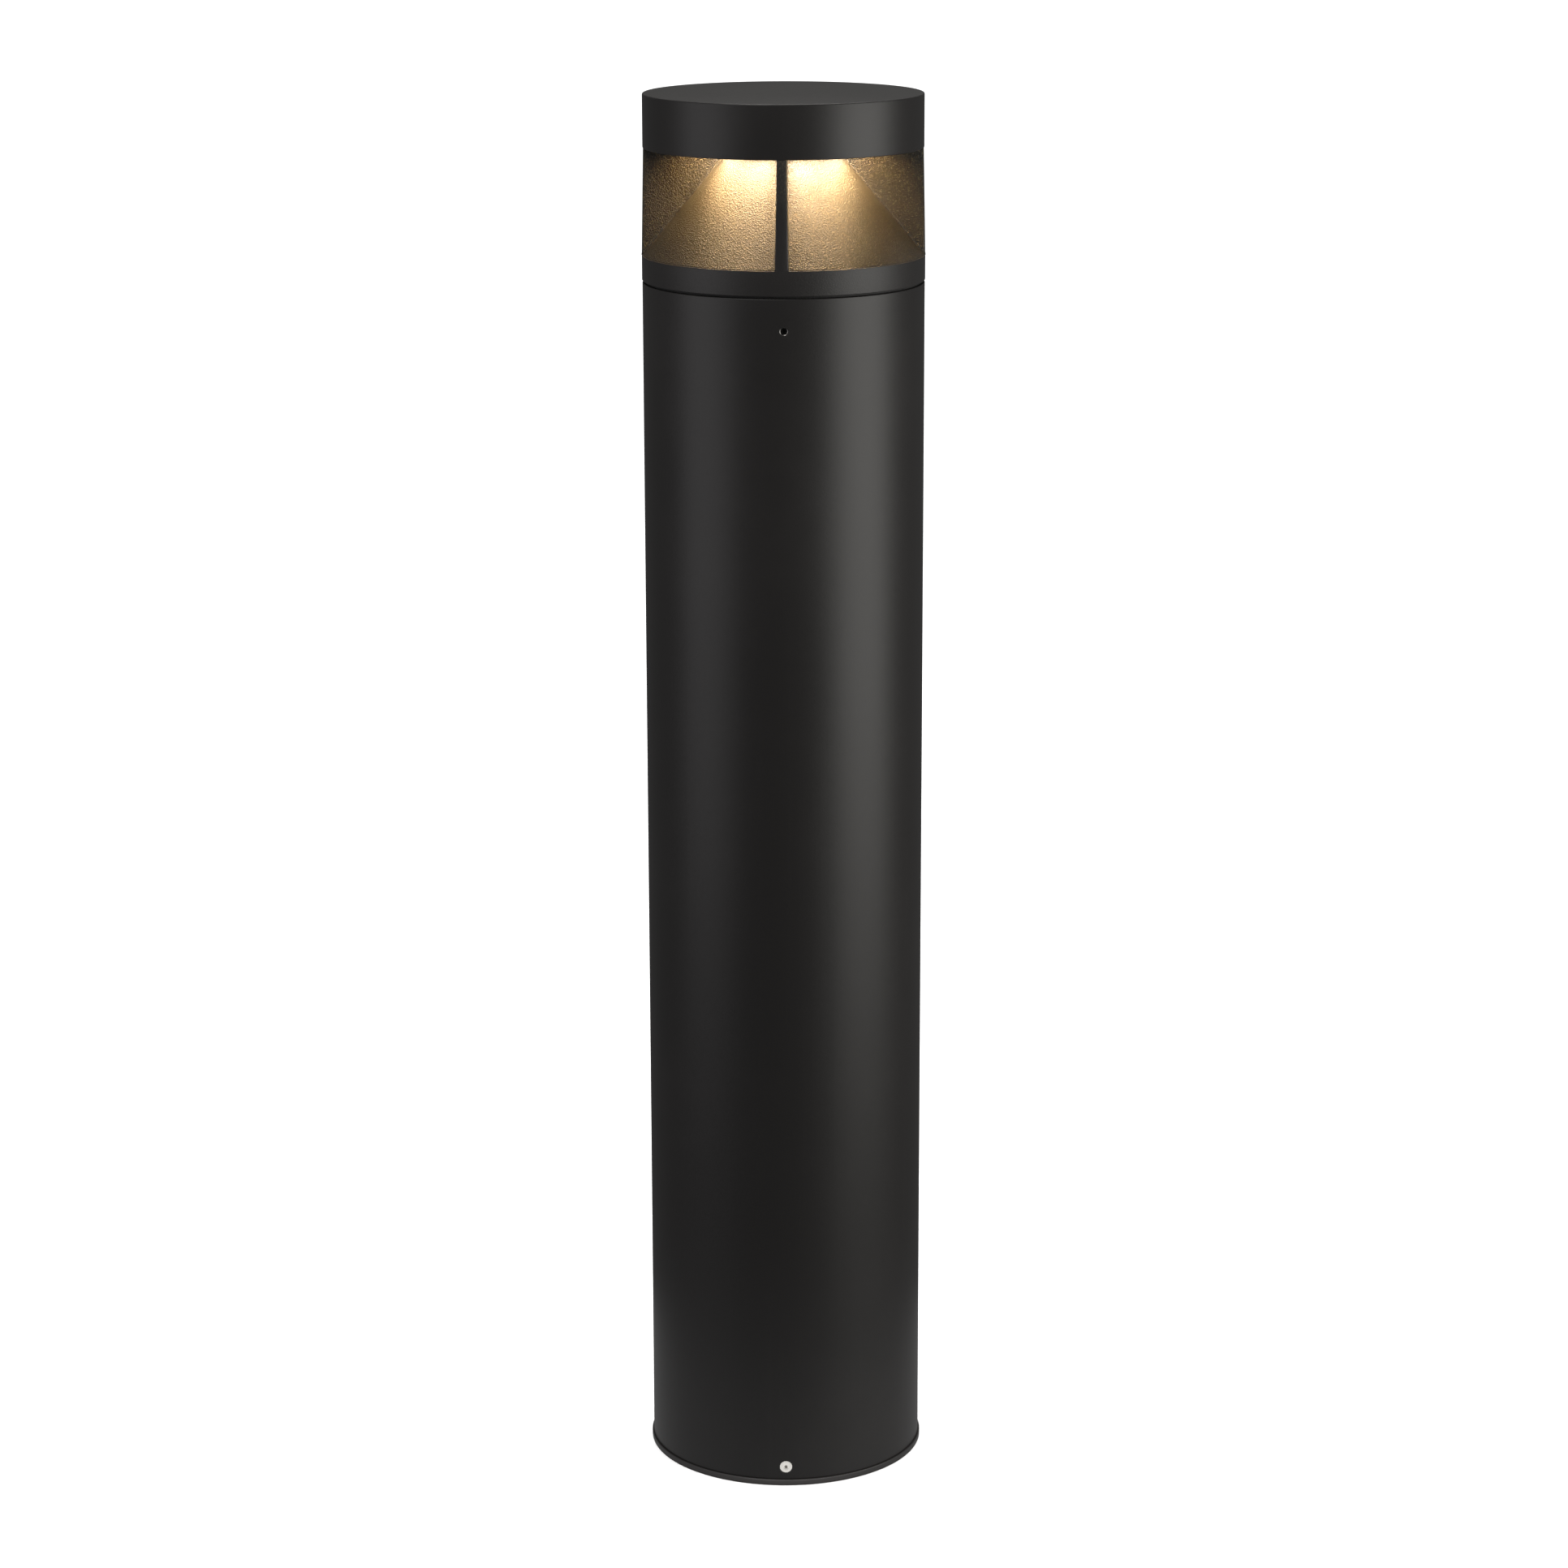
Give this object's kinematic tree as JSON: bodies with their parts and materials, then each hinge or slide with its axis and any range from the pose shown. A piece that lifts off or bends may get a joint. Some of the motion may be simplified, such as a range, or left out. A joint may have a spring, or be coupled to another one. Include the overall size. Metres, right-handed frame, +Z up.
{
  "type": "bollard light",
  "caption": "Round black bollard light: post on a foot flange, open head with a cone and upright fins lit from under the cap.",
  "frame": {"origin": "centre of the foot flange's underside, on the ground", "axes": "+Z up along the post; the front foot screw and set screw face -Y"},
  "size_m": [0.201, 0.201, 1],
  "materials": {
    "black_coat": "satin fine-texture black powder coat",
    "black_casting": "textured black powder coat on a die casting",
    "stainless": "stainless steel, brushed",
    "black_rubber": "matt black rubber",
    "clear_plastic": "clear polycarbonate",
    "board": "white solder mask",
    "light_source": "warm white light source, lit",
    "bare_aluminium": "milled aluminium",
    "zinc_sheet": "zinc-plated sheet",
    "driver_case": "light grey moulded case",
    "box_grey": "grey moulded plastic",
    "gland_plastic": "black nylon",
    "terminal_plastic": "cream nylon",
    "lead_sheath": "black flexible sheath",
    "brass": "brass"
  },
  "bodies": {
    "post": {"base_flange": "black_coat", "foot_spigot": "black_coat", "foot_screws": "stainless", "earth_stud": "brass", "post_tube": "black_coat", "head_set_screws": "stainless"},
    "seal": {"post_seal": "black_rubber"},
    "head": {"cap_gasket": "black_rubber", "cap_screws": "stainless", "cap_shell": "black_coat", "driver_screws": "stainless", "gear_plate": "bare_aluminium", "gear_plate_screws": "stainless", "gear_tray": "zinc_sheet", "head_casting": "black_casting", "heat_plate": "bare_aluminium", "inlet_gland": "gland_plastic", "lead_grommet": "black_rubber", "led_board": "board", "led_chips": "light_source", "led_connector": "terminal_plastic", "led_driver": "driver_case", "led_gland": "gland_plastic", "led_lead": "lead_sheath", "lens_frame": "black_casting", "lens_gasket_1": "black_rubber", "lens_gasket_2": "black_rubber", "lens_gasket_3": "black_rubber", "lens_gasket_4": "black_rubber", "lens_pane_1": "clear_plastic", "lens_pane_2": "clear_plastic", "lens_pane_3": "clear_plastic", "lens_pane_4": "clear_plastic", "supply_lead": "lead_sheath", "terminal_block": "terminal_plastic", "terminal_box": "box_grey", "terminal_box_lid": "box_grey", "tray_screws": "stainless"}
  },
  "joints": [
    {"name": "head_turn", "type": "hinge", "parent": "post", "child": "seal", "pos_m": [0, 0, 0.8689], "axis": [0, 0, 1], "range_deg": [-180, 180]},
    {"name": "head_lift", "type": "slide", "parent": "seal", "child": "head", "axis": [0, 0, 1], "range_m": [0, 0.32]}
  ]
}
